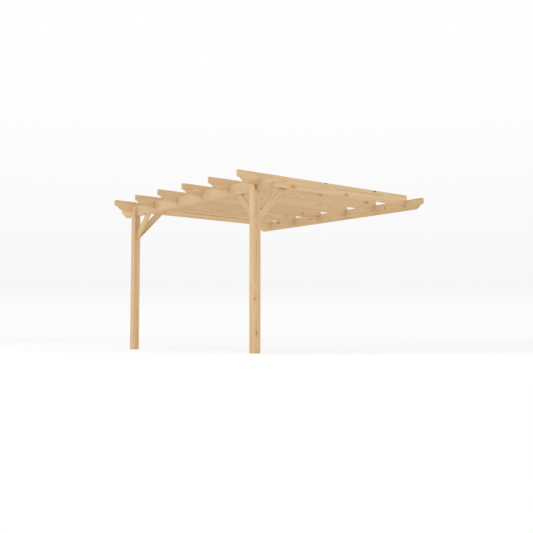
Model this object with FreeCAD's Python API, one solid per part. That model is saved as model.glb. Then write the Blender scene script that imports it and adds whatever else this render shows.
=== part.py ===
import FreeCAD, Part
import math
import os

# Attached patio cover in planed softwood: two square posts and a front beam
# carry the front of six rafters, and a wall beam on the house carries the back.
#
# Frame: millimetres. The origin is on the back face of the wall beam, at the
# middle of its length and depth. +X runs along the beam, +Y into the wall and
# +Z up, so the ground is at -mount_height.

Vector = FreeCAD.Vector

# Timber sections
timber_thickness = 45.0
timber_depth = 145.0
post_section = 98.0
brace_thickness = 28.0
brace_depth = 90.0
timber_arris = 3.0
post_arris = 4.0

# Main places
post_spacing = 2836.0
clear_depth = 2636.0
headroom = 1965.0
beam_overhang = 343.0
rafter_overhang = 266.0
rafter_side_step = 38.0
rafter_count = 6

# Joints
notch_depth = 70.0
cheek_thickness = 36.0
brace_drop = 354.0
brace_lap = 95.0
brace_slope = 45.0

# Scalloped timber ends
end_height = 75.0
scallop_run = 148.0

# Worked out from the sizes above
mount_height = headroom + timber_depth / 2
beam_top = headroom + timber_depth
rafter_underside = beam_top - notch_depth
post_outer_face = post_spacing / 2 + post_section / 2
post_inner_face = post_spacing / 2 - post_section / 2
post_back = -clear_depth
post_front = post_back - post_section
front_beam_face = post_front + cheek_thickness
beam_length = 2 * (post_outer_face + beam_overhang)
rafter_length = clear_depth + post_section + rafter_overhang
end_rafter_centre = post_outer_face + rafter_side_step - timber_thickness / 2
end_rafter_inner_face = end_rafter_centre - timber_thickness / 2
rafter_spacing = 2 * end_rafter_centre / (rafter_count - 1)
brace_foot = headroom - brace_drop
scallop_drop = timber_depth - end_height
cutter_reach = 2 * timber_depth


def planed_timber(size_x, size_y, size_z, grain, arris):
    """A box from the origin, with the four edges along its grain rounded."""
    box = Part.makeBox(size_x, size_y, size_z)
    long_edges = [edge for edge in box.Edges if abs(edge.tangentAt(0).dot(grain)) > 0.99]
    return box.makeFillet(arris, long_edges)


def scallop_curve():
    """Edges of the scallop in the XZ plane, from the end face to the underside.

    The timber's end is at x = 0 and its underside at z = 0. A cove starts level
    at the foot of the upright end face. Halfway it turns into a round of the
    same radius, which ends level at the underside.
    """
    radius = (scallop_run ** 2 + scallop_drop ** 2) / (4 * scallop_drop)
    half_turn = math.atan2(scallop_drop, scallop_run)
    along = radius * math.sin(half_turn)
    down = radius * (1 - math.cos(half_turn))

    top = Vector(0, 0, scallop_drop)
    middle = Vector(scallop_run / 2, 0, scallop_drop / 2)
    foot = Vector(scallop_run, 0, 0)
    return [
        Part.Arc(top, top + Vector(along, 0, -down), middle).toShape(),
        Part.Arc(middle, foot + Vector(-along, 0, down), foot).toShape(),
    ]


def scallop_waste():
    """What the saw takes off below the scallop, wider than the timber."""
    corners = [
        Vector(scallop_run, 0, 0),
        Vector(scallop_run, 0, -cutter_reach),
        Vector(-cutter_reach, 0, -cutter_reach),
        Vector(-cutter_reach, 0, scallop_drop),
        Vector(0, 0, scallop_drop),
    ]
    outside = [Part.LineSegment(a, b).toShape() for a, b in zip(corners, corners[1:])]
    face = Part.Face(Part.Wire(scallop_curve() + outside))
    waste = face.extrude(Vector(0, 2 * cutter_reach, 0))
    waste.translate(Vector(0, -cutter_reach, 0))
    return waste


def beam(front_face):
    """A beam on edge with both ends scalloped, its front face at the given y."""
    timber = planed_timber(beam_length, timber_thickness, timber_depth, Vector(1, 0, 0), timber_arris)
    far_waste = scallop_waste().mirror(Vector(beam_length / 2, 0, 0), Vector(1, 0, 0))
    timber = timber.cut([scallop_waste(), far_waste])
    timber.translate(Vector(-beam_length / 2, front_face, headroom))
    return timber


def rafter(centre):
    """A rafter with a scalloped tail, notched over both beams."""
    timber = planed_timber(rafter_length, timber_thickness, timber_depth, Vector(1, 0, 0), timber_arris)
    timber = timber.cut(scallop_waste())
    timber.translate(Vector(0, -timber_thickness / 2, 0))
    timber.rotate(Vector(0, 0, 0), Vector(0, 0, 1), 90)
    timber.translate(Vector(centre, -rafter_length, rafter_underside))

    notches = []
    for beam_face in (front_beam_face, -timber_thickness):
        notch = Part.makeBox(cutter_reach, timber_thickness, cutter_reach)
        notch.translate(Vector(centre - cutter_reach / 2, beam_face, beam_top - cutter_reach))
        notches.append(notch)
    return timber.cut(notches)


def post(side):
    """A post with a rebate behind for the beam. Its front cheek stands beside
    the beam, and is cut down under the end rafter. side is -1 left, +1 right."""
    timber = planed_timber(post_section, post_section, beam_top, Vector(0, 0, 1), post_arris)
    timber.translate(Vector(side * post_spacing / 2 - post_section / 2, post_front, 0))

    beam_seat = Part.makeBox(2 * post_section, post_section, cutter_reach)
    beam_seat.translate(Vector(side * post_spacing / 2 - post_section, front_beam_face, headroom))

    rafter_seat = Part.makeBox(post_section, 2 * post_section, cutter_reach)
    left_edge = end_rafter_inner_face if side > 0 else -end_rafter_inner_face - post_section
    rafter_seat.translate(Vector(left_edge, post_front - post_section / 2, rafter_underside))
    return timber.cut([beam_seat, rafter_seat])


def brace(top_height):
    """A sloping brace in the XZ plane. Its foot is mitred to stand against the
    plane x = 0, and its head is cut level at top_height."""
    slope = math.radians(brace_slope)
    rise = top_height - brace_foot
    reach = rise / math.tan(slope)
    spare = 2 * brace_depth
    length = rise / math.sin(slope) + 2 * spare
    timber = planed_timber(length, brace_thickness, brace_depth, Vector(1, 0, 0), timber_arris)
    timber.translate(Vector(-spare, 0, 0))
    timber.rotate(Vector(0, 0, 0), Vector(0, 1, 0), -brace_slope)
    timber.translate(Vector(0, 0, brace_foot))

    bounds = Part.makeBox(reach + spare, 3 * brace_thickness, rise + 2 * spare)
    bounds.translate(Vector(0, -brace_thickness, top_height - rise - 2 * spare))
    return timber.common(bounds)


def beam_brace(side):
    """Brace from the inner face of a post up to the underside of the front
    beam, centred on the beam's thickness."""
    timber = brace(headroom)
    inset = (timber_thickness - brace_thickness) / 2
    timber.translate(Vector(-post_inner_face, front_beam_face + inset, 0))
    if side > 0:
        timber = timber.mirror(Vector(0, 0, 0), Vector(1, 0, 0))
    return timber


def rafter_brace(side):
    """Brace from the back of a post up to the end rafter, lapped on the inner
    face of that rafter."""
    timber = brace(rafter_underside + brace_lap)
    timber.rotate(Vector(0, 0, 0), Vector(0, 0, 1), 90)
    timber.translate(Vector(end_rafter_inner_face, post_back, 0))
    if side < 0:
        timber = timber.mirror(Vector(0, 0, 0), Vector(1, 0, 0))
    return timber


def build_parts():
    parts = {
        "post_left": post(-1),
        "post_right": post(1),
        "front_beam": beam(front_beam_face),
        "wall_beam": beam(-timber_thickness),
        "beam_brace_left": beam_brace(-1),
        "beam_brace_right": beam_brace(1),
        "rafter_brace_left": rafter_brace(-1),
        "rafter_brace_right": rafter_brace(1),
    }
    for index in range(rafter_count):
        parts[f"rafter_{index + 1}"] = rafter(index * rafter_spacing - end_rafter_centre)
    return parts


os.makedirs("parts", exist_ok=True)
for name, shape in build_parts().items():
    shape.translate(Vector(0, 0, -mount_height))
    solid = shape.Solids[0]
    solid.exportStep(f"parts/{name}.step")
    print(name, len(shape.Solids), solid.isValid(), round(solid.Volume / 1e6, 3))
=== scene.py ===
import math
from collections import namedtuple

import bpy
import numpy as np
from mathutils import Euler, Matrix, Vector


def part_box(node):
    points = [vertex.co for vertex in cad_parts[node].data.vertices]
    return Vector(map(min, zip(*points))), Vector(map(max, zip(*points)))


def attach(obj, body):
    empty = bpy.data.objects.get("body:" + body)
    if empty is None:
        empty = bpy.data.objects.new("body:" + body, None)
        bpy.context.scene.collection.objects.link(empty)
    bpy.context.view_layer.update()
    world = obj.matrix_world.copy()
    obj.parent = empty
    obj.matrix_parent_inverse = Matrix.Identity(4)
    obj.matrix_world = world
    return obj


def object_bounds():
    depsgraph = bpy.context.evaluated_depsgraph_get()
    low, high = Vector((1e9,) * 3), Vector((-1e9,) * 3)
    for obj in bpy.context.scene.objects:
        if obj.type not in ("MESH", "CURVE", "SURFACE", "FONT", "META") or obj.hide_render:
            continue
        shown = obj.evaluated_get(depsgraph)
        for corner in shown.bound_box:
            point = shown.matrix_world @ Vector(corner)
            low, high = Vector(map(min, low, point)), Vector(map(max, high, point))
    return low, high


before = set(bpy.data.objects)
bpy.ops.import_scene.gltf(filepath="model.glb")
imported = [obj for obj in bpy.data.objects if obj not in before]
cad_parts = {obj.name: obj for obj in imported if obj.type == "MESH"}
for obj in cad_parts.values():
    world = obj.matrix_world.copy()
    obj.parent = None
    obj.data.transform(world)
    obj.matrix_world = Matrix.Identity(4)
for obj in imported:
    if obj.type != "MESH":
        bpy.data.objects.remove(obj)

# Attached patio cover in planed, unvarnished pine: two posts, a front beam and
# a wall beam, six rafters and four knee braces. The timbers are the CAD nodes.
# This script gives each of them the grain of its own piece of wood, adds the
# screws, and sets the floor, the light and the camera.

cad_low, cad_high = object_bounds()
ground = cad_low.z
MM = 0.001


# Colours and nodes

def linear(code):
    """A colour written as sRGB hex, as the linear RGBA that a shader takes."""
    channels = [int(code[start:start + 2], 16) / 255 for start in (1, 3, 5)]
    light = [c / 12.92 if c <= 0.04045 else ((c + 0.055) / 1.055) ** 2.4 for c in channels]
    return (*light, 1.0)


def empty_tree(owner):
    """The node tree of a new material or world, with nothing in it."""
    owner.use_nodes = True
    owner.node_tree.nodes.clear()
    return owner.node_tree


def add(tree, kind, inputs, output=0, **settings):
    """Adds a node with its settings, sets or links its inputs, and returns one of its outputs."""
    node = tree.nodes.new(kind)
    for name, value in settings.items():
        setattr(node, name, value)
    for name, value in inputs.items():
        if isinstance(value, bpy.types.NodeSocket):
            tree.links.new(value, node.inputs[name])
        else:
            node.inputs[name].default_value = value
    return node.outputs[output] if len(node.outputs) else None


# A Mix node's factor, two colours and result, by number
FACTOR, COLOUR_A, COLOUR_B, MIXED = 0, 6, 7, 2


# Pine, planed and left bare. What the eye sees is a pale honey colour with long
# soft bands along the grain, the darker summer wood of each ring, a few small
# orange-brown knots, and duller, darker end grain.
spring_wood = "#E8CA9F"
summer_wood = "#CA9D66"
heart_wood = "#D7A266"
end_grain = "#CBA676"
knot_wood = "#B9834A"
knot_rim = "#A36F3E"
knot_halo = "#D59B59"
# The dark grain tint is also laid on in a few bands as painted shade, besides real grain lines.
dark_grain_and_painted_shade = "#9A6A3C"
dark_knot = "#74492A"
# The grey tint is painted shade in corners, under the end rafter and near the braces, and also the grey
# round some knots.
grey_knot_and_painted_shade = "#8B7752"

# Sizes of the pattern in millimetres. The fibres of pine are 0.03 mm wide, too
# fine to show, and are drawn as bundles 1.4 mm wide.
ring_width = 5.5
pith_wander, wander_length = 14.0, 700.0
ring_ripple, ripple_length, ripple_width = 5.0, 420.0, 60.0
ring_bend = 13.0
zone_length, zone_width = 4000.0, 30.0
streak_length, streak_width = 1100.0, 16.0
fibre_length, fibre_width = 90.0, 1.4
heart_blur = 8.0
unevenness_size = 14.0
relief_height = 0.16

# How much the rings close in for each millimetre along the tapering stem
stem_taper = 0.009

# How strongly each tint covers the wood, from 0 to 1
least_summer, most_summer = 0.30, 0.72
zone_strength, heart_strength = 0.22, 0.2
halo_strength, inside_strength, rim_strength = 0.7, 0.7, 0.35

# How light the darkest and the palest streak and bundle of fibres are, how rough
# the two kinds of wood are, and how far fibres and knots stand up beside summer
# wood, which is 1
streak_tones, fibre_tones = (0.92, 1.05), (0.96, 1.04)
spring_roughness, summer_roughness = 0.68, 0.56
fibre_relief, knot_relief = 0.5, 0.8

# How uneven the outlines of knots and bands are, as a share of their own width
knot_unevenness, band_unevenness = 0.7, 0.8

# A knot is a little longer along the grain than across it, and the resin stain
# round it is longer still. A shape is how much of the way along the grain, along
# the branch and across both counts as distance.
knot_length = 1.3
knot_shape, stain_shape = (1, 0, 1), (0.42, 0, 0.9)
knot_ring_width = 0.3

# Steps that keep the noises of one timber apart, and those of two timbers
timber_step, zone_step, ripple_step, streak_step = 11.3, 50.0, 3.7, 9.1

# The last three may be left out: no knots, no bands, and ends that darken by half
Timber = namedtuple("Timber", "turn pith heart warmth shade knots bands ends", defaults=([], [], 0.5))


def knot_distances(tree, wood, uneven, timber):
    """Distance from the nearest knot's middle line, in knot radii, and from its stain's.

    A knot is a branch: a cone that widens from the pith to a named point.
    """
    far_off, least_depth = 99.0, 0.05
    nearest = [far_off, far_off]
    for place, y, z, size in timber.knots:
        out_y, out_z = y - timber.pith[0], z - timber.pith[1]
        branch = add(tree, "ShaderNodeMapping", {
            "Vector": wood, "Location": (place, 0, 0), "Rotation": (math.atan2(out_z, out_y), 0, 0),
            "Scale": (knot_length * size, math.hypot(out_y, out_z), size)}, vector_type="TEXTURE")
        depth = add(tree, "ShaderNodeVectorMath", {0: branch, 1: (0, 1, 0)}, "Value",
                    operation="DOT_PRODUCT")
        depth = add(tree, "ShaderNodeMath", {0: depth, 1: least_depth}, operation="MAXIMUM")
        for kind, shape in enumerate([knot_shape, stain_shape]):
            reach = add(tree, "ShaderNodeVectorMath", {0: branch, 1: shape}, operation="MULTIPLY")
            reach = add(tree, "ShaderNodeVectorMath", {0: reach}, "Value", operation="LENGTH")
            reach = add(tree, "ShaderNodeMath", {0: reach, 1: depth}, operation="DIVIDE")
            nearest[kind] = add(tree, "ShaderNodeMath", {0: nearest[kind], 1: reach},
                                operation="MINIMUM")
    return [add(tree, "ShaderNodeMath", {0: uneven, 1: knot_unevenness, 2: reach},
                operation="MULTIPLY_ADD") for reach in nearest]


def ring_distance(tree, wood, knot, seed):
    """Distance from the pith in millimetres, as the rings follow it.

    The pith wanders a little along the tree, the rings ripple, the stem tapers,
    and the rings bend round the knots.
    """
    along = add(tree, "ShaderNodeVectorMath", {0: wood, 1: (1, 0, 0)}, operation="MULTIPLY")
    wander = add(tree, "ShaderNodeTexNoise", {
        "Vector": along, "W": seed, "Scale": 1 / wander_length, "Detail": 1.0},
        "Color", noise_dimensions="4D")
    wander = add(tree, "ShaderNodeVectorMath", {
        0: wander, 1: (0, 2 * pith_wander, 2 * pith_wander), 2: (0, -pith_wander, -pith_wander)},
        operation="MULTIPLY_ADD")
    across = add(tree, "ShaderNodeVectorMath", {0: wood, 1: (0, 1, 1), 2: wander},
                 operation="MULTIPLY_ADD")
    radius = add(tree, "ShaderNodeVectorMath", {0: across}, "Value", operation="LENGTH")
    ripple = add(tree, "ShaderNodeVectorMath", {
        0: wood, 1: (1 / ripple_length, 1 / ripple_width, 1 / ripple_width)}, operation="MULTIPLY")
    ripple = add(tree, "ShaderNodeTexNoise", {
        "Vector": ripple, "W": seed + ripple_step, "Scale": 1.0, "Detail": 2.0},
        noise_dimensions="4D")
    radius = add(tree, "ShaderNodeMath", {0: ripple, 1: 2 * ring_ripple, 2: radius},
                 operation="MULTIPLY_ADD")
    length = add(tree, "ShaderNodeSeparateXYZ", {"Vector": wood}, "X")
    radius = add(tree, "ShaderNodeMath", {0: length, 1: stem_taper, 2: radius},
                 operation="MULTIPLY_ADD")
    bend = add(tree, "ShaderNodeMapRange", {
        "Value": knot, "From Min": 0.6, "From Max": 4.0, "To Min": ring_bend, "To Max": 0.0},
        interpolation_type="SMOOTHERSTEP")
    return add(tree, "ShaderNodeMath", {0: radius, 1: bend}, operation="ADD")


def summer_in_ring(tree, radius):
    """Summer wood in a ring: 0 at its pale inside, rising to 1 at its sharp outer edge."""
    phase = add(tree, "ShaderNodeMath", {0: radius, 1: ring_width}, operation="DIVIDE")
    phase = add(tree, "ShaderNodeMath", {0: phase}, operation="FRACT")
    rise = add(tree, "ShaderNodeMapRange", {"Value": phase, "From Min": 0.25, "From Max": 0.9},
               interpolation_type="SMOOTHSTEP")
    fall = add(tree, "ShaderNodeMapRange", {
        "Value": phase, "From Min": 0.92, "From Max": 1.0, "To Min": 1.0, "To Max": 0.0})
    return add(tree, "ShaderNodeMath", {0: rise, 1: fall}, operation="MULTIPLY")


def good_years(tree, wood, radius, seed):
    """Good and bad years: zones of rings with more summer wood, 1, or less, 0."""
    length = add(tree, "ShaderNodeSeparateXYZ", {"Vector": wood}, "X")
    zone = add(tree, "ShaderNodeCombineXYZ", {"X": length, "Y": radius, "Z": seed * zone_step})
    zone = add(tree, "ShaderNodeVectorMath", {
        0: zone, 1: (1 / zone_length, 1 / zone_width, 1 / zone_width)}, operation="MULTIPLY")
    zone = add(tree, "ShaderNodeTexNoise", {
        "Vector": zone, "Scale": 1.0, "Detail": 2.0, "Roughness": 0.6})
    return add(tree, "ShaderNodeMapRange", {"Value": zone, "From Min": 0.3, "From Max": 0.7},
               interpolation_type="SMOOTHSTEP")


def ring_tints(tree, summer, zone, radius, timber):
    """Summer wood in the rings and in good years, and warmer heartwood near the pith."""
    amount = add(tree, "ShaderNodeMapRange", {
        "Value": zone, "To Min": least_summer, "To Max": most_summer})
    rings = add(tree, "ShaderNodeMath", {0: summer, 1: amount}, operation="MULTIPLY")
    years = add(tree, "ShaderNodeMath", {0: zone, 1: zone_strength}, operation="MULTIPLY")
    heart = add(tree, "ShaderNodeMapRange", {
        "Value": radius, "From Min": timber.heart - heart_blur, "From Max": timber.heart + heart_blur,
        "To Min": timber.warmth + heart_strength, "To Max": timber.warmth},
        interpolation_type="SMOOTHSTEP")
    return [(rings, summer_wood), (years, summer_wood), (heart, heart_wood)]


def knot_tints(tree, knot, stain, inside):
    """A warm stain, an orange-brown face with its own rings, and a darker rim."""
    halo = add(tree, "ShaderNodeMapRange", {
        "Value": stain, "From Min": 0.5, "From Max": 1.9, "To Min": halo_strength, "To Max": 0.0},
        interpolation_type="SMOOTHSTEP")
    rings = add(tree, "ShaderNodeMath", {0: knot, 1: knot_ring_width}, operation="PINGPONG")
    rings = add(tree, "ShaderNodeMath", {0: rings, 1: inside}, operation="MULTIPLY")
    off_rim = add(tree, "ShaderNodeMath", {0: knot, 1: 1.0}, operation="SUBTRACT")
    off_rim = add(tree, "ShaderNodeMath", {0: off_rim}, operation="ABSOLUTE")
    rim = add(tree, "ShaderNodeMapRange", {
        "Value": off_rim, "From Max": 0.2, "To Min": rim_strength, "To Max": 0.0},
        interpolation_type="SMOOTHSTEP")
    return [(halo, knot_halo), (inside, knot_wood), (rings, knot_halo), (rim, knot_rim)]


def band_tints(tree, wood, uneven, timber):
    """Bands: long thin ellipsoids of darker, warmer or paler wood round named points; some are painted
    shade, on a post's side, in corners and under the end rafter.
    """
    tints = []
    for place, y, z, half_length, half_width, tint, strength in timber.bands:
        band = add(tree, "ShaderNodeMapping", {
            "Vector": wood, "Location": (place, y - timber.pith[0], z - timber.pith[1]),
            "Scale": (half_length, half_width, half_width)}, vector_type="TEXTURE")
        band = add(tree, "ShaderNodeVectorMath", {0: band}, "Value", operation="LENGTH")
        band = add(tree, "ShaderNodeMath", {0: uneven, 1: band_unevenness, 2: band},
                   operation="MULTIPLY_ADD")
        band = add(tree, "ShaderNodeMapRange", {
            "Value": band, "From Min": 0.5, "From Max": 1.2, "To Min": strength, "To Max": 0.0},
            interpolation_type="SMOOTHSTEP")
        tints.append((band, tint))
    return tints


def end_tint(tree, grain, timber):
    """End grain drinks in dust and light, and looks darker than the faces."""
    normal = add(tree, "ShaderNodeTexCoord", {}, "Normal")
    facing = add(tree, "ShaderNodeVectorMath", {0: normal, 1: grain}, "Value", operation="DOT_PRODUCT")
    facing = add(tree, "ShaderNodeMath", {0: facing}, operation="ABSOLUTE")
    cut = add(tree, "ShaderNodeMapRange", {
        "Value": facing, "From Min": 0.3, "From Max": 0.95, "To Min": 0.0, "To Max": timber.ends},
        interpolation_type="SMOOTHSTEP")
    return cut, end_grain


def pine(name, centre, timber, seed):
    """Pine for one timber, as a solid pattern in the wood.

    The place is taken to millimetres from the pith of the tree: x along the
    grain, y and z across it. A ring is where the distance from the pith, made
    uneven by noise and by the knots, passes a multiple of the ring width.
    """
    material = bpy.data.materials.new(name)
    tree = empty_tree(material)
    turn = Euler([math.radians(degrees) for degrees in timber.turn])
    pith_place = centre + turn.to_matrix() @ Vector((0, *timber.pith)) * MM
    place = add(tree, "ShaderNodeTexCoord", {}, "Object")
    wood = add(tree, "ShaderNodeMapping", {
        "Vector": place, "Location": pith_place, "Rotation": turn, "Scale": (MM, MM, MM)},
        vector_type="TEXTURE")
    uneven = add(tree, "ShaderNodeTexNoise", {
        "Vector": wood, "Scale": 1 / unevenness_size, "Detail": 2.0})
    uneven = add(tree, "ShaderNodeMath", {0: uneven, 1: 0.5}, operation="SUBTRACT")

    knot, stain = knot_distances(tree, wood, uneven, timber)
    inside = add(tree, "ShaderNodeMapRange", {
        "Value": knot, "From Min": 0.7, "From Max": 1.1, "To Min": inside_strength, "To Max": 0.0},
        interpolation_type="SMOOTHSTEP")
    radius = ring_distance(tree, wood, knot, seed)
    summer = summer_in_ring(tree, radius)
    zone = good_years(tree, wood, radius, seed)

    # The tints lie over each other in this order.
    tints = ring_tints(tree, summer, zone, radius, timber)
    tints += knot_tints(tree, knot, stain, inside)
    tints += band_tints(tree, wood, uneven, timber)
    tints.append(end_tint(tree, turn.to_matrix() @ Vector((1, 0, 0)), timber))
    colour = linear(spring_wood)
    for strength, tint in tints:
        colour = add(tree, "ShaderNodeMix", {
            FACTOR: strength, COLOUR_A: colour, COLOUR_B: linear(tint)}, MIXED, data_type="RGBA")

    # Streaks and fibres along the grain change how light the wood is.
    streak = add(tree, "ShaderNodeVectorMath", {
        0: wood, 1: (1 / streak_length, 1 / streak_width, 1 / streak_width)}, operation="MULTIPLY")
    streak = add(tree, "ShaderNodeTexNoise", {
        "Vector": streak, "W": seed + streak_step, "Scale": 1.0, "Detail": 2.0},
        noise_dimensions="4D")
    fibre = add(tree, "ShaderNodeVectorMath", {
        0: wood, 1: (1 / fibre_length, 1 / fibre_width, 1 / fibre_width)}, operation="MULTIPLY")
    fibre = add(tree, "ShaderNodeTexNoise", {"Vector": fibre, "Scale": 1.0, "Detail": 3.0})
    dark_streak, pale_streak = [tone * timber.shade for tone in streak_tones]
    dark_fibre, pale_fibre = fibre_tones
    streak_tone = add(tree, "ShaderNodeMapRange", {
        "Value": streak, "From Min": 0.3, "From Max": 0.7, "To Min": dark_streak, "To Max": pale_streak})
    fibre_tone = add(tree, "ShaderNodeMapRange", {
        "Value": fibre, "From Min": 0.25, "From Max": 0.75, "To Min": dark_fibre, "To Max": pale_fibre})
    tone = add(tree, "ShaderNodeMath", {0: streak_tone, 1: fibre_tone}, operation="MULTIPLY")
    colour = add(tree, "ShaderNodeVectorMath", {0: colour, "Scale": tone}, operation="SCALE")

    # Summer wood, fibres and knots stand a hair proud after planing, and summer
    # wood is a little glossier.
    relief = add(tree, "ShaderNodeMath", {0: fibre, 1: fibre_relief, 2: summer},
                 operation="MULTIPLY_ADD")
    relief = add(tree, "ShaderNodeMath", {0: inside, 1: knot_relief, 2: relief},
                 operation="MULTIPLY_ADD")
    bump = add(tree, "ShaderNodeBump", {
        "Strength": 0.35, "Distance": relief_height * MM, "Height": relief}, "Normal")
    roughness = add(tree, "ShaderNodeMapRange", {
        "Value": summer, "To Min": spring_roughness, "To Max": summer_roughness})
    surface = add(tree, "ShaderNodeBsdfPrincipled", {
        "Base Color": colour, "Roughness": roughness, "Normal": bump, "IOR": 1.5})
    add(tree, "ShaderNodeOutputMaterial", {"Surface": surface})
    return material


# How each timber lies: degrees that turn its own x, along the grain, y through
# its thickness and z across its face to the frame's axes.
upright, along_x, along_y = (0, -90, 0), (0, 0, 0), (0, 0, 90)
rising_right, rising_left, rising_back = (0, -45, 0), (0, -135, 0), (0, -45, 90)

# The wood of each timber, in millimetres from the middle of its box: where the
# pith lies, how far the heartwood reaches, its warmth and shade, its knots, each
# with its place along, the point where it shows and its radius, and its bands,
# each with its middle, half its length and width, its colour and strength. The
# last number, where there is one, is how far the ends darken. The middle of a
# brace's box is the middle of the brace's lower edge.
woods = {
    "post_left": Timber(upright, (12, -16), 30, 0.01, 1.01, [(-560, 30, 49, 8), (420, 49, 12, 11)], [
        # Painted shade: both bands darken the post's side face, the second most near the braces at its
        # top.
        (-100, -6, -49, 1500, 34, dark_grain_and_painted_shade, 0.16), (790, -6, -49, 230, 40, grey_knot_and_painted_shade, 0.27)]),
    "post_right": Timber(upright, (-20, 10), 34, 0.02, 1.02, [
        (-400, -42, -49, 9), (-815, -12, -49, 11), (560, -30, 49, 9)], [
        # Painted shade: the first band, a shadow on the cheek's side just under the end rafter.
        (958, -32, -49, 50, 16, grey_knot_and_painted_shade, 0.5), (700, -10, -49, 240, 3, dark_grain_and_painted_shade, 0.3),
        (-400, -42, -49, 18, 12, grey_knot_and_painted_shade, 0.45), (-815, -12, -49, 20, 13, grey_knot_and_painted_shade, 0.5)]),
    "front_beam": Timber(along_x, (52, 20), 48, 0.03, 0.96, [(-1240, 16, -73, 10), (980, 18, -73, 9)], [
        # Painted shade: the first band, in the corner by the right post under the end rafter.
        (1470, -22, -20, 16, 60, grey_knot_and_painted_shade, 0.5), (1815, 0, 10, 16, 110, spring_wood, 0.9),
        (1150, -22, 20, 700, 90, spring_wood, 0.3), (-1200, -22, 10, 550, 90, dark_grain_and_painted_shade, 0.07)], 0.0),
    # Painted shade: this beam's low shade, 0.92, darkens it for the shade under the rafters.
    "wall_beam": Timber(along_x, (58, -30), 26, 0.05, 0.92, [
        (-1275, -22, 36, 14), (-466, -22, 12, 11), (250, -22, -52, 5)], [
        (1123, -22, 5, 16, 42, knot_halo, 1.0), (1128, -22, -2, 6, 22, dark_grain_and_painted_shade, 0.4),
        (331, -22, 40, 10, 34, knot_halo, 0.6), (1720, -22, 66, 120, 16, knot_halo, 0.6),
        # Painted shade: the band at -1470, where the first rafter ends against the beam.
        (-1240, -22, 30, 10, 30, dark_grain_and_painted_shade, 0.5), (-1470, -22, 40, 16, 30, dark_grain_and_painted_shade, 0.35),
        (-900, -22, 0, 500, 70, dark_grain_and_painted_shade, 0.1), (1450, -22, 20, 300, 60, spring_wood, 0.25)], 0.1),
    "beam_brace_left": Timber(rising_right, (24, -30), 30, 0.04, 1.02, [(120, 14, 60, 7)]),
    "beam_brace_right": Timber(rising_left, (24, 30), 30, 0.16, 0.94),
    "rafter_brace_left": Timber(rising_back, (30, 90), 40, 0.06, 0.96, [(-200, -14, 16, 7)], [
        (-160, -14, 14, 200, 16, knot_halo, 0.4), (-290, -14, 40, 60, 16, dark_grain_and_painted_shade, 0.4),
        (-180, -14, 30, 260, 50, dark_grain_and_painted_shade, 0.1)]),
    "rafter_brace_right": Timber(rising_back, (32, 10), 36, 0.03, 1.04, [], [
        (20, -14, 66, 120, 18, knot_halo, 0.35), (-262, -14, 84, 26, 9, dark_grain_and_painted_shade, 0.5),
        # Painted shade: the band at 282, under the end rafter at the brace's head.
        (282, -14, 42, 60, 30, dark_grain_and_painted_shade, 0.65)]),
    "rafter_1": Timber(along_y, (-60, 64), 46, 0.02, 1.03, [(880, 22, 10, 10)], [
        (-1240, -22, 30, 230, 5, dark_grain_and_painted_shade, 0.5), (0, -22, -5, 420, 8, dark_grain_and_painted_shade, 0.55),
        (800, -22, -11, 650, 6, dark_grain_and_painted_shade, 0.5), (-500, -22, 16, 300, 7, dark_grain_and_painted_shade, 0.4),
        (470, -22, 0, 330, 7, knot_halo, 0.5)]),
    "rafter_2": Timber(along_y, (50, -20), 52, 0.07, 0.96, [(1296, -22, 23, 12)], [
        (-100, -22, -16, 330, 9, knot_halo, 0.45)]),
    "rafter_3": Timber(along_y, (44, 34), 50, 0.06, 0.97, [(1109, -22, -22, 10)]),
    "rafter_4": Timber(along_y, (56, 4), 30, 0.02, 1.02, [(-60, -22, -44, 8)]),
    "rafter_5": Timber(along_y, (48, -36), 50, 0.07, 0.99, [(375, -22, 43, 11), (1296, -22, 22, 12)], [
        (375, -22, 43, 34, 8, dark_knot, 0.4), (280, -22, 46, 170, 10, knot_halo, 0.4),
        (1296, -22, 22, 50, 8, dark_knot, 0.35)]),
    "rafter_6": Timber(along_y, (60, 12), 62, 0.04, 1.03, [
        (-638, -22, -38, 17), (-82, -22, 64, 8), (293, -22, -42, 13), (842, -22, 58, 10)], [
        (-82, -22, 68, 24, 12, dark_knot, 0.6), (842, -22, 62, 26, 13, dark_knot, 0.9),
        # Painted shade: the band at -780, on the underside where the brace's head meets it.
        (-1290, -6, -66, 100, 34, knot_halo, 0.45), (-780, 14, -72, 100, 20, dark_grain_and_painted_shade, 0.9),
        (-1390, -22, 20, 170, 50, spring_wood, 0.5)]),
}
for index, (name, timber) in enumerate(sorted(woods.items())):
    low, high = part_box(name)
    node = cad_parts[name]
    node.data.materials.clear()
    node.data.materials.append(pine("planed_pine_" + name, (low + high) / 2, timber, timber_step * index))


# Screws

# Countersunk wood screws with a star socket, in steel plated with yellow zinc,
# which gives a dull gold gloss with a few paler and browner clouds. The sizes of
# clouds and scratches are in millimetres.
pale_zinc, brown_zinc = "#C2A060", "#9C8350"
cloud_size, scratch_size, scratch_depth = 3.0, 0.4, 0.05


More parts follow.
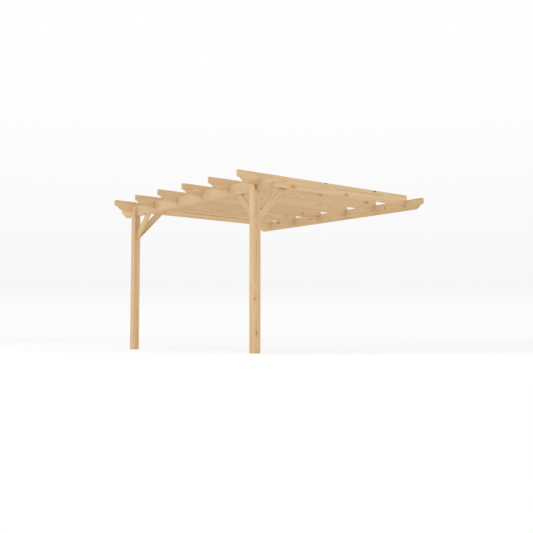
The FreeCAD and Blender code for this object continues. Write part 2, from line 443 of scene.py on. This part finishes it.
def zinc_plated_steel():
    material = bpy.data.materials.new("yellow_zinc_plated_steel")
    tree = empty_tree(material)
    place = add(tree, "ShaderNodeTexCoord", {}, "Object")
    clouds = add(tree, "ShaderNodeTexNoise", {
        "Vector": place, "Scale": 1 / (cloud_size * MM), "Detail": 3.0})
    tint = add(tree, "ShaderNodeMapRange", {"Value": clouds, "From Min": 0.35, "From Max": 0.65})
    colour = add(tree, "ShaderNodeMix", {
        FACTOR: tint, COLOUR_A: linear(pale_zinc), COLOUR_B: linear(brown_zinc)}, MIXED, data_type="RGBA")
    roughness = add(tree, "ShaderNodeMapRange", {"Value": clouds, "To Min": 0.3, "To Max": 0.5})
    scratches = add(tree, "ShaderNodeTexNoise", {
        "Vector": place, "Scale": 1 / (scratch_size * MM), "Detail": 2.0})
    bump = add(tree, "ShaderNodeBump", {
        "Strength": 0.2, "Distance": scratch_depth * MM, "Height": scratches}, "Normal")
    surface = add(tree, "ShaderNodeBsdfPrincipled", {
        "Base Color": colour, "Metallic": 1.0, "Roughness": roughness, "Normal": bump})
    add(tree, "ShaderNodeOutputMaterial", {"Surface": surface})
    return material


# A screw's sizes in millimetres, the tip's heights from its point up, and the
# depths of the star and the thread as a share of the distance out. The last row
# has the four lengths.
pitch, thread_length, thread_radius, thread_depth = 3.0, 36.0, 2.1, 0.22
tip_radius, tip_height, thread_end_height = 0.7, 1.0, 4.0
star_lobes, star_depth = 6, 0.18
segments, rows_a_turn = 24, 6
rafter_screw, cheek_screw, brace_screw, lap_screw = 140.0, 70.0, 120.0, 60.0

# The head, from the socket's floor over its rim to the shank: the distance out,
# the height above the wood, and the star's share there
head_profile = np.array([
    (0.9, 0.12, 1), (1.75, 0.15, 1), (1.95, 1.0, 1), (2.15, 1.15, 0.5), (2.6, 1.2, 0), (3.6, 1.15, 0),
    (4.3, 0.95, 0), (4.7, 0.5, 0), (4.75, 0.0, 0), (4.5, -0.5, 0), (2.4, -3.6, 0), (1.9, -5.0, 0)])
plated = zinc_plated_steel()


def screw_skin(length):
    """Points and faces of one screw, upright, with its head at the origin.

    A screw is a profile carried round its axis: the distance out at each height,
    from the socket's floor over the head and down the shank to the tip. In the
    socket the distance is also multiplied by 1 + star depth x cos(lobes x angle),
    a star, and on the thread by 1 + thread depth x cos(angle - 2 pi height /
    pitch), a helix. The socket ends just above the wood, which is whole under it.
    """
    angle = np.linspace(0, 2 * np.pi, segments, endpoint=False)
    thread_top = thread_length - length
    thread_end = thread_end_height - length
    rows = np.arange(thread_top, thread_end, -pitch / rows_a_turn)
    threaded = np.column_stack([np.full_like(rows, thread_radius), rows, np.zeros_like(rows)])
    profile = np.vstack([head_profile, threaded, (tip_radius, tip_height - length, 0)])
    out, height, star = (column[:, None] for column in profile.T)
    helix = np.where((height <= thread_top) & (height > thread_end), thread_depth, 0.0)
    out = out * (1 + star_depth * star * np.cos(star_lobes * angle))
    out = out * (1 + helix * np.cos(angle - 2 * np.pi * height / pitch))
    height = np.broadcast_to(height, out.shape)
    skin = np.stack([out * np.cos(angle), out * np.sin(angle), height], axis=-1)
    socket_floor, tip = (0, 0, head_profile[0, 1]), (0, 0, -length)
    points = np.vstack([skin.reshape(-1, 3), socket_floor, tip]) * MM

    upper = (np.arange(len(profile) - 1)[:, None] * segments + np.arange(segments)).ravel()
    turned = upper // segments * segments + (upper + 1) % segments
    sides = np.stack([upper, upper + segments, turned + segments, turned], axis=-1)
    first = np.arange(segments)
    after = (first + 1) % segments
    last_row = (len(profile) - 1) * segments
    socket_fan = np.stack([np.full(segments, len(points) - 2), first, after], axis=-1)
    tip_fan = np.stack([np.full(segments, len(points) - 1), last_row + after, last_row + first], axis=-1)
    return points, (sides, socket_fan, tip_fan)


def screws(name, length, heads, directions):
    """Screws of one length, joined, with their heads at the places and facing the directions."""
    points, parts = screw_skin(length)

    # Each screw's own axes, as rows: two across it, and the way that it faces
    heads, facing = np.array(heads), np.array(directions, dtype=float)
    aside = np.where(np.abs(facing[:, 2:]) > 0.9, (1.0, 0.0, 0.0), (0.0, 0.0, 1.0))
    across = np.cross(aside, facing)
    across /= np.linalg.norm(across, axis=1, keepdims=True)
    axes = np.stack([across, np.cross(facing, across), facing], axis=1)
    placed = (points @ axes + heads[:, None, :]).reshape(-1, 3)
    step = np.arange(len(heads))[:, None, None] * len(points)
    faces = [face for part in parts for face in (part + step).reshape(-1, part.shape[1]).tolist()]

    mesh = bpy.data.meshes.new(name)
    mesh.from_pydata(placed.tolist(), [], faces)
    mesh.materials.append(plated)
    piece = bpy.data.objects.new(name, mesh)
    bpy.context.scene.collection.objects.link(piece)
    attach(piece, "root")


up, front = Vector((0, 0, 1)), Vector((0, -1, 0))
rafters = [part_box(f"rafter_{number}") for number in range(1, 7)]
beams = [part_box("front_beam"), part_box("wall_beam")]

# One long screw down through each rafter into each beam
rafter_heads = [((low.x + high.x) / 2, (beam_low.y + beam_high.y) / 2, high.z)
                for low, high in rafters for beam_low, beam_high in beams]
screws("rafter_screws", rafter_screw, rafter_heads, [up] * len(rafter_heads))

# Two through each post's front cheek into the beam, staggered. Places are in
# millimetres, aside of the cheek's middle and above the beam's underside.
cheek_places = [(-14, 34), (14, 96)]
beam_underside = beams[0][0].z
cheek_heads = [((low.x + high.x) / 2 + offset * MM, low.y, beam_underside + height * MM)
               for low, high in (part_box("post_left"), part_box("post_right"))
               for offset, height in cheek_places]
screws("cheek_screws", cheek_screw, cheek_heads, [front] * len(cheek_heads))

# Two in each brace's lower edge at its foot, and two at its other end: in the
# same edge up into the beam, or side by side through the lap into the rafter.
# The edge is the diagonal of the brace's box. Places are in millimetres: on the
# edge from its ends, and on the lap from its back, from its top and from one
# screw to the other.
edge_places = (61, 124)
lap_from_back, lap_from_top, lap_gap = 78, 46, 57
slant = math.sqrt(0.5)
braces = [(1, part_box("beam_brace_left"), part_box("rafter_brace_left")),
          (-1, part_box("beam_brace_right"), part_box("rafter_brace_right"))]
edge_heads, edge_facing, lap_heads, lap_facing = [], [], [], []
for inward, beam_brace, rafter_brace in braces:
    for (low, high), run in ((beam_brace, Vector((inward, 0, 0))), (rafter_brace, Vector((0, 1, 0)))):
        middle, along, outward = (low + high) / 2, (run + up) * slant, (run - up) * slant
        half = (high.z - low.z) / 2 / slant
        places = [-half + from_end * MM for from_end in edge_places]
        if run.x:
            places += [half - from_end * MM for from_end in edge_places]
        edge_heads += [middle + along * place for place in places]
        edge_facing += [outward] * len(places)
    low, high = rafter_brace
    inner_face = high.x if inward > 0 else low.x
    lap = Vector((inner_face, high.y - lap_from_back * MM, high.z - lap_from_top * MM))
    lap_heads += [lap, lap - Vector((0, lap_gap * MM, 0))]
    lap_facing += [Vector((inward, 0, 0))] * 2
screws("brace_screws", brace_screw, edge_heads, edge_facing)
screws("lap_screws", lap_screw, lap_heads, lap_facing)


# Floor, light and camera

# The photograph's camera, worked out from its straight lines: low down, to the
# right of the front. Places and depth are in metres, turns in radians.
camera_place = Vector((9.182, -8.869, 0.271 + ground))
camera_turn, camera_tilt = 0.8841, 0.0780
picture_width, focal_pixels = 533, 822.3
view_depth = 200.0

# The floor is seen white in front of the object and a little greyer behind it,
# as where a studio's floor curves up to its backdrop. Each fade has the distance
# ahead of the camera where it starts and ends, in metres, and the light that it
# adds to the floor there.
floor_half = 60.0
near_fade, far_fade = (7.5, 11.5, 0.22, 0.155), (12.0, 45.0, 0.155, 0.215)
floor_paper, white, backdrop_grey = "#E9E9E9", "#FFFFFF", "#F6F6F6"

# The soft light from all round, and the large lamp high in front, in watts and
# metres
room_strength, lamp_power, lamp_width = 0.93, 210.0, 10.0
lamp_place = (-2.0, -10.0, 8.0)


def background_ray(tree):
    """1 where a ray shows the background: straight to the camera, in a gloss, or through glass."""
    seen = add(tree, "ShaderNodeLightPath", {}, "Is Camera Ray")
    for kind in ("Is Glossy Ray", "Is Transmission Ray"):
        ray = add(tree, "ShaderNodeLightPath", {}, kind)
        seen = add(tree, "ShaderNodeMath", {0: seen, 1: ray}, operation="MAXIMUM")
    return seen


def matt_white_floor():
    """White paper, which shows with its fades and still takes the object's shadow."""
    material = bpy.data.materials.new("matt_white_floor")
    tree = empty_tree(material)
    matt = add(tree, "ShaderNodeBsdfDiffuse", {"Color": linear(floor_paper)})
    place = add(tree, "ShaderNodeTexCoord", {}, "Object")
    place = add(tree, "ShaderNodeVectorMath", {0: place, 1: camera_place}, operation="SUBTRACT")
    ahead = Vector((-math.sin(camera_turn), math.cos(camera_turn), 0))
    depth = add(tree, "ShaderNodeVectorMath", {0: place, 1: ahead}, "Value", operation="DOT_PRODUCT")
    near, far = [add(tree, "ShaderNodeMapRange", {
        "Value": depth, "From Min": start, "From Max": end, "To Min": first, "To Max": last},
        interpolation_type="SMOOTHSTEP") for start, end, first, last in (near_fade, far_fade)]
    strength = add(tree, "ShaderNodeMath", {0: near, 1: far}, operation="MAXIMUM")
    lift = add(tree, "ShaderNodeEmission", {"Color": linear(white), "Strength": strength})
    lifted = add(tree, "ShaderNodeAddShader", {0: matt, 1: lift})
    surface = add(tree, "ShaderNodeMixShader", {0: background_ray(tree), 1: matt, 2: lifted})
    add(tree, "ShaderNodeOutputMaterial", {"Surface": surface})
    return material


def lay_floor():
    corners = [(-floor_half, -floor_half, ground), (floor_half, -floor_half, ground),
               (floor_half, floor_half, ground), (-floor_half, floor_half, ground)]
    mesh = bpy.data.meshes.new("floor")
    mesh.from_pydata(corners, [], [(0, 1, 2, 3)])
    mesh.materials.append(matt_white_floor())
    floor = bpy.data.objects.new("floor", mesh)
    bpy.context.scene.collection.objects.link(floor)


def light_studio():
    """Soft light from all round and from a large lamp, and a pale backdrop.

    The backdrop is greyest a little above the floor. It goes to white higher up
    and nearly to white down at the floor. A height is the upward part of the
    direction, 0 level and 1 straight up.
    """
    world = bpy.data.worlds.new("studio")
    bpy.context.scene.world = world
    tree = empty_tree(world)
    direction = add(tree, "ShaderNodeTexCoord", {}, "Generated")
    height = add(tree, "ShaderNodeSeparateXYZ", {"Vector": direction}, "Z")
    above = add(tree, "ShaderNodeMapRange", {"Value": height, "From Min": 0.03, "From Max": 0.3})
    below = add(tree, "ShaderNodeMapRange", {
        "Value": height, "From Min": 0.02, "From Max": 0.055, "To Min": 0.75, "To Max": 0.0})
    whiter = add(tree, "ShaderNodeMath", {0: above, 1: below}, operation="MAXIMUM")
    backdrop = add(tree, "ShaderNodeMix", {
        FACTOR: whiter, COLOUR_A: linear(backdrop_grey), COLOUR_B: linear(white)}, MIXED, data_type="RGBA")
    light = add(tree, "ShaderNodeBackground", {"Color": linear(white), "Strength": room_strength})
    seen = add(tree, "ShaderNodeBackground", {"Color": backdrop, "Strength": 1.0})
    both = add(tree, "ShaderNodeMixShader", {0: background_ray(tree), 1: light, 2: seen})
    add(tree, "ShaderNodeOutputWorld", {"Surface": both})

    lamp = bpy.data.lights.new("key_light", "AREA")
    lamp.shape = "DISK"
    lamp.size = lamp_width
    lamp.energy = lamp_power
    holder = bpy.data.objects.new("key_light", lamp)
    holder.location = lamp_place
    from_object = holder.location - (cad_low + cad_high) / 2
    holder.rotation_euler = from_object.to_track_quat("Z", "Y").to_euler()
    bpy.context.scene.collection.objects.link(holder)


def set_camera():
    lens = bpy.data.cameras.new("camera")
    lens.lens = lens.sensor_width * focal_pixels / picture_width
    lens.clip_end = view_depth
    camera = bpy.data.objects.new("camera", lens)
    camera.location = camera_place
    camera.rotation_euler = (math.pi / 2 + camera_tilt, 0, camera_turn)
    bpy.context.scene.collection.objects.link(camera)
    bpy.context.scene.camera = camera


lay_floor()
light_studio()
set_camera()
bpy.context.scene.view_settings.view_transform = "Standard"
